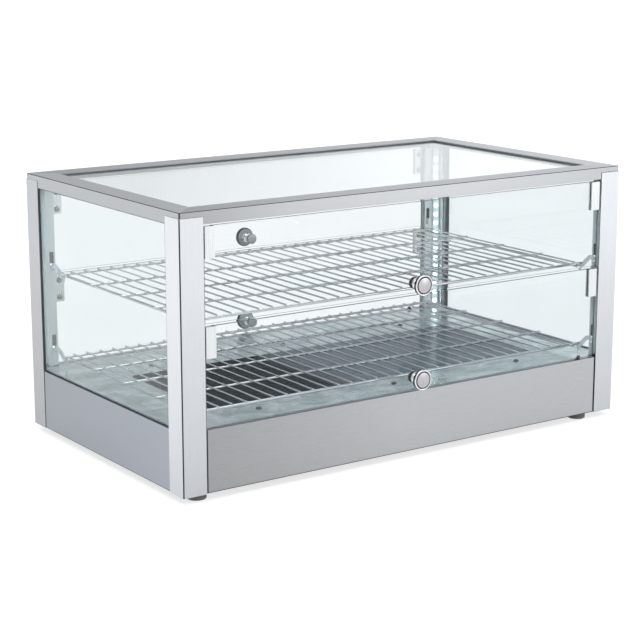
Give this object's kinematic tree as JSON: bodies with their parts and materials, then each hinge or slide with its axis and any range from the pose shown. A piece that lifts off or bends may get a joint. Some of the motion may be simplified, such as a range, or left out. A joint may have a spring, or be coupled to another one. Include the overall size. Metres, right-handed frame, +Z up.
{
  "type": "hot food display case",
  "caption": "Counter-top heated glass display case with a steel base, corner posts, top-hinged glass flaps front and rear, and lift-off wire shelves.",
  "frame": {"origin": "centre of the footprint, on the plane that the feet stand on", "axes": "+Z up, -Y is the front with the brushed panel, +X is to the right seen from the front"},
  "size_m": [0.85, 0.5256, 0.43],
  "materials": {
    "brushed_steel": "vertical-grain brushed stainless sheet",
    "frame_steel": "satin brushed stainless frame",
    "post_aluminium": "fine satin anodised extrusion",
    "galvanised_steel": "plain galvanised sheet",
    "black_steel": "dark coated sheet",
    "upright_steel": "satin stainless strip",
    "clamp_steel": "satin stainless clamp plate",
    "floor_steel": "dull galvanised floor sheet",
    "heat_plate_steel": "smooth dark heat-resistant enamel",
    "element_steel": "heat-tinted tube",
    "screw_steel": "bright zinc-plated screws",
    "wire_chrome": "bright chrome-plated wire",
    "knob_chrome": "polished chrome with a brushed face",
    "clear_glass": "clear tempered glass with a green edge",
    "clear_plastic": "clear strip-light cover",
    "led_white": "white strip with cool-white diodes",
    "black_rubber": "black gasket rubber",
    "grey_rubber": "dark grey rubber",
    "black_plastic": "black moulded plastic",
    "red_plastic": "translucent red rocker",
    "green_plastic": "translucent green rocker",
    "amber_plastic": "amber lamp lens",
    "ceramic": "glazed ceramic",
    "white_plastic": "white moulded plastic",
    "lead_insulation": "heat-resistant silicone leads"
  },
  "bodies": {
    "case": {"base_tray": "black_steel", "front_panel": "brushed_steel", "rear_panel": "brushed_steel", "left_panel": "brushed_steel", "right_panel": "brushed_steel", "front_left_post": "post_aluminium", "front_right_post": "post_aluminium", "rear_left_post": "post_aluminium", "rear_right_post": "post_aluminium", "front_rail": "frame_steel", "rear_rail": "frame_steel", "left_rail": "frame_steel", "right_rail": "frame_steel", "top_glass": "clear_glass", "top_glass_seal": "black_rubber", "left_glass": "clear_glass", "right_glass": "clear_glass", "side_glass_seals": "black_rubber", "shelf_uprights": "upright_steel", "shelf_hooks": "upright_steel", "hinge_blocks": "galvanised_steel", "hinge_pins": "wire_chrome", "led_strips": "led_white", "led_covers": "clear_plastic", "floor_plate": "floor_steel", "heat_plate": "heat_plate_steel", "heating_element": "element_steel", "element_straps": "galvanised_steel", "heat_reflector": "galvanised_steel", "base_screws": "screw_steel", "feet": "grey_rubber", "flap_bumpers": "black_rubber", "thermostat": "galvanised_steel", "switch_housings": "black_plastic", "pilot_lamp": "amber_plastic", "cable_gland": "black_plastic", "terminal_block": "ceramic", "led_driver": "white_plastic", "wiring": "lead_insulation"},
    "front_upper_flap": {"front_upper_glass": "clear_glass", "front_upper_clamps": "clamp_steel", "front_upper_screws": "screw_steel", "front_upper_knob": "knob_chrome"},
    "front_lower_flap": {"front_lower_glass": "clear_glass", "front_lower_clamps": "clamp_steel", "front_lower_screws": "screw_steel", "front_lower_knob": "knob_chrome"},
    "rear_upper_flap": {"rear_upper_glass": "clear_glass", "rear_upper_clamps": "clamp_steel", "rear_upper_screws": "screw_steel", "rear_upper_knob": "knob_chrome"},
    "rear_lower_flap": {"rear_lower_glass": "clear_glass", "rear_lower_clamps": "clamp_steel", "rear_lower_screws": "screw_steel", "rear_lower_knob": "knob_chrome"},
    "upper_shelf": {"upper_shelf": "wire_chrome"},
    "lower_shelf": {"lower_shelf": "wire_chrome"},
    "thermostat_knob": {"thermostat_knob": "black_plastic"},
    "power_rocker": {"power_rocker": "red_plastic"},
    "light_rocker": {"light_rocker": "green_plastic"}
  },
  "joints": [
    {"name": "front_upper_flap_hinge", "type": "hinge", "parent": "case", "child": "front_upper_flap", "pos_m": [0, -0.2375, 0.402], "axis": [-1, 0, 0], "range_deg": [0, 90]},
    {"name": "front_lower_flap_hinge", "type": "hinge", "parent": "case", "child": "front_lower_flap", "pos_m": [0, -0.2375, 0.2555], "axis": [-1, 0, 0], "range_deg": [0, 90]},
    {"name": "rear_upper_flap_hinge", "type": "hinge", "parent": "case", "child": "rear_upper_flap", "pos_m": [0, 0.2375, 0.402], "axis": [1, 0, 0], "range_deg": [0, 90]},
    {"name": "rear_lower_flap_hinge", "type": "hinge", "parent": "case", "child": "rear_lower_flap", "pos_m": [0, 0.2375, 0.2555], "axis": [1, 0, 0], "range_deg": [0, 90]},
    {"name": "upper_shelf_lift", "type": "slide", "parent": "case", "child": "upper_shelf", "axis": [0, 0, 1], "range_m": [0, 0.015]},
    {"name": "lower_shelf_lift", "type": "slide", "parent": "case", "child": "lower_shelf", "axis": [0, 0, 1], "range_m": [0, 0.015]},
    {"name": "thermostat_turn", "type": "hinge", "parent": "case", "child": "thermostat_knob", "pos_m": [0.29, 0.244, 0.058], "axis": [0, 1, 0], "range_deg": [0, 270]},
    {"name": "power_rocker_tilt", "type": "hinge", "parent": "case", "child": "power_rocker", "pos_m": [0.225, 0.2445, 0.058], "axis": [-1, 0, 0], "range_deg": [0, 20]},
    {"name": "light_rocker_tilt", "type": "hinge", "parent": "case", "child": "light_rocker", "pos_m": [0.19, 0.2445, 0.058], "axis": [-1, 0, 0], "range_deg": [0, 20]}
  ]
}
